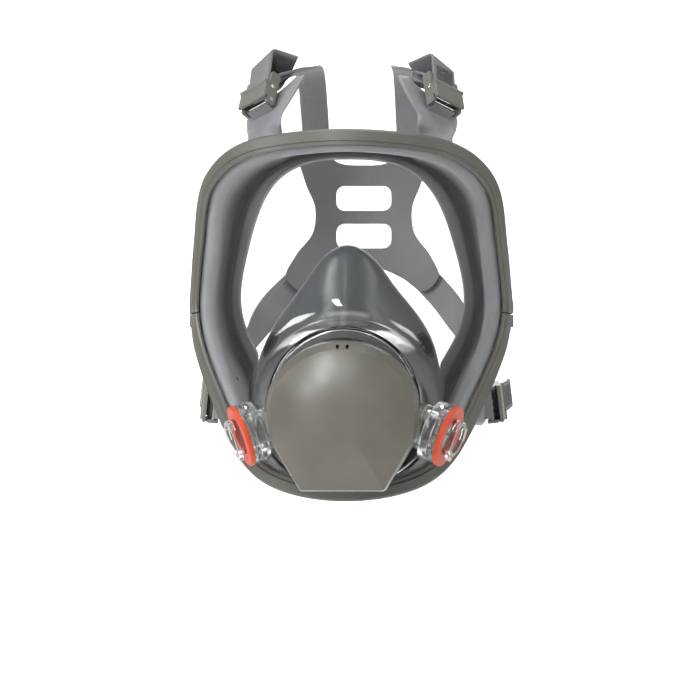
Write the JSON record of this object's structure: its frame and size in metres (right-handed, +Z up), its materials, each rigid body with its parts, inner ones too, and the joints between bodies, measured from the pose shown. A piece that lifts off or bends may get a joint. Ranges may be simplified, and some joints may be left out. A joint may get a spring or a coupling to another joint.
{
  "type": "full face respirator",
  "caption": "Full-face respirator with a wrap-around clear window, rubber face seal, nose cup, front valve cover, bayonet filter ports and a strap harness.",
  "frame": {"origin": "on the middle plane, level with the joints between the frame's halves, at the depth of the window rim's rearmost points", "axes": "+X to the right of someone facing the mask, +Y towards the wearer, +Z up"},
  "size_m": [0.1862, 0.2887, 0.2577],
  "materials": {
    "clear_plastic": "clear polycarbonate",
    "frame_plastic": "fine satin, khaki grey",
    "steel": "bright steel",
    "seal_rubber": "soft matt grey with a violet cast",
    "cup_rubber": "dark grey matt",
    "adapter_plastic": "dark grey moulding",
    "black_rubber": "black",
    "film": "thin film",
    "valve_rubber": "amber silicone",
    "cover_plastic": "fine satin, khaki grey",
    "orange_gasket": "orange silicone",
    "buckle_plastic": "fine satin, khaki grey",
    "strap_webbing": "ribbed grey elastomer",
    "pad_rubber": "grey elastomer"
  },
  "bodies": {
    "facepiece": {"lens": "clear_plastic", "port_right": "clear_plastic", "port_left": "clear_plastic", "frame_upper": "frame_plastic", "frame_lower": "frame_plastic", "frame_screws": "steel", "frame_nuts": "steel", "face_seal": "seal_rubber", "nose_cup": "cup_rubber", "adapter_housing": "adapter_plastic", "adapter_nut": "adapter_plastic", "diaphragm_ring": "adapter_plastic", "cup_valve_seat_right": "adapter_plastic", "cup_valve_seat_left": "adapter_plastic", "adapter_gasket": "black_rubber", "speech_diaphragm": "film", "port_gasket_right": "orange_gasket", "port_gasket_left": "orange_gasket", "buckle_pin_upper_right": "steel", "buckle_pin_upper_left": "steel", "buckle_pin_lower_right": "steel", "buckle_pin_lower_left": "steel"},
    "cover": {"front_cover": "cover_plastic"},
    "exhalation_disc": {"exhalation_valve": "valve_rubber"},
    "inhalation_disc_right": {"inhalation_valve_right": "valve_rubber"},
    "inhalation_disc_left": {"inhalation_valve_left": "valve_rubber"},
    "cup_disc_right": {"cup_valve_right": "valve_rubber"},
    "cup_disc_left": {"cup_valve_left": "valve_rubber"},
    "harness": {"strap_upper_right": "strap_webbing", "strap_upper_left": "strap_webbing", "strap_lower_right": "strap_webbing", "strap_lower_left": "strap_webbing", "head_pad": "pad_rubber"},
    "buckle_upper_right_body": {"buckle_upper_right": "buckle_plastic", "buckle_roller_upper_right": "steel", "strap_end_upper_right": "strap_webbing"},
    "buckle_upper_left_body": {"buckle_upper_left": "buckle_plastic", "buckle_roller_upper_left": "steel", "strap_end_upper_left": "strap_webbing"},
    "buckle_lower_right_body": {"buckle_lower_right": "buckle_plastic", "buckle_roller_lower_right": "steel", "strap_end_lower_right": "strap_webbing"},
    "buckle_lower_left_body": {"buckle_lower_left": "buckle_plastic", "buckle_roller_lower_left": "steel", "strap_end_lower_left": "strap_webbing"}
  },
  "joints": [
    {"name": "cover_pull_off", "type": "slide", "parent": "facepiece", "child": "cover", "axis": [0, -1, 0], "range_m": [0, 0.03]},
    {"name": "exhalation_lift", "type": "slide", "parent": "facepiece", "child": "exhalation_disc", "axis": [0, -1, 0], "range_m": [0, 0.0012], "stiffness_N_per_m": 30},
    {"name": "inhalation_lift_right", "type": "slide", "parent": "facepiece", "child": "inhalation_disc_right", "axis": [-0.9049, 0.245, 0.348], "range_m": [0, 0.001], "stiffness_N_per_m": 20},
    {"name": "cup_valve_lift_right", "type": "slide", "parent": "facepiece", "child": "cup_disc_right", "axis": [-0.8611, 0.4214, -0.2844], "range_m": [0, 0.001], "stiffness_N_per_m": 20},
    {"name": "buckle_swing_upper_right", "type": "hinge", "parent": "facepiece", "child": "buckle_upper_right_body", "pos_m": [0.053, 0.005, 0.1195], "axis": [0.725, 0.6002, -0.3379], "range_deg": [-3, 14]},
    {"name": "buckle_swing_lower_right", "type": "hinge", "parent": "facepiece", "child": "buckle_lower_right_body", "pos_m": [0.08, 0.027, -0.052], "axis": [0.115, 0.1283, -0.985], "range_deg": [-3, 14]},
    {"name": "inhalation_lift_left", "type": "slide", "parent": "facepiece", "child": "inhalation_disc_left", "axis": [0.9049, 0.245, 0.348], "range_m": [0, 0.001], "stiffness_N_per_m": 20},
    {"name": "cup_valve_lift_left", "type": "slide", "parent": "facepiece", "child": "cup_disc_left", "axis": [0.8611, 0.4214, -0.2844], "range_m": [0, 0.001], "stiffness_N_per_m": 20},
    {"name": "buckle_swing_upper_left", "type": "hinge", "parent": "facepiece", "child": "buckle_upper_left_body", "pos_m": [-0.053, 0.005, 0.1195], "axis": [0.725, -0.6002, 0.3379], "range_deg": [-3, 14]},
    {"name": "buckle_swing_lower_left", "type": "hinge", "parent": "facepiece", "child": "buckle_lower_left_body", "pos_m": [-0.08, 0.027, -0.052], "axis": [0.115, -0.1283, 0.985], "range_deg": [-3, 14]},
    {"name": "harness_loosen", "type": "slide", "parent": "facepiece", "child": "harness", "axis": [0, 1, 0], "range_m": [0, 0.025]}
  ]
}
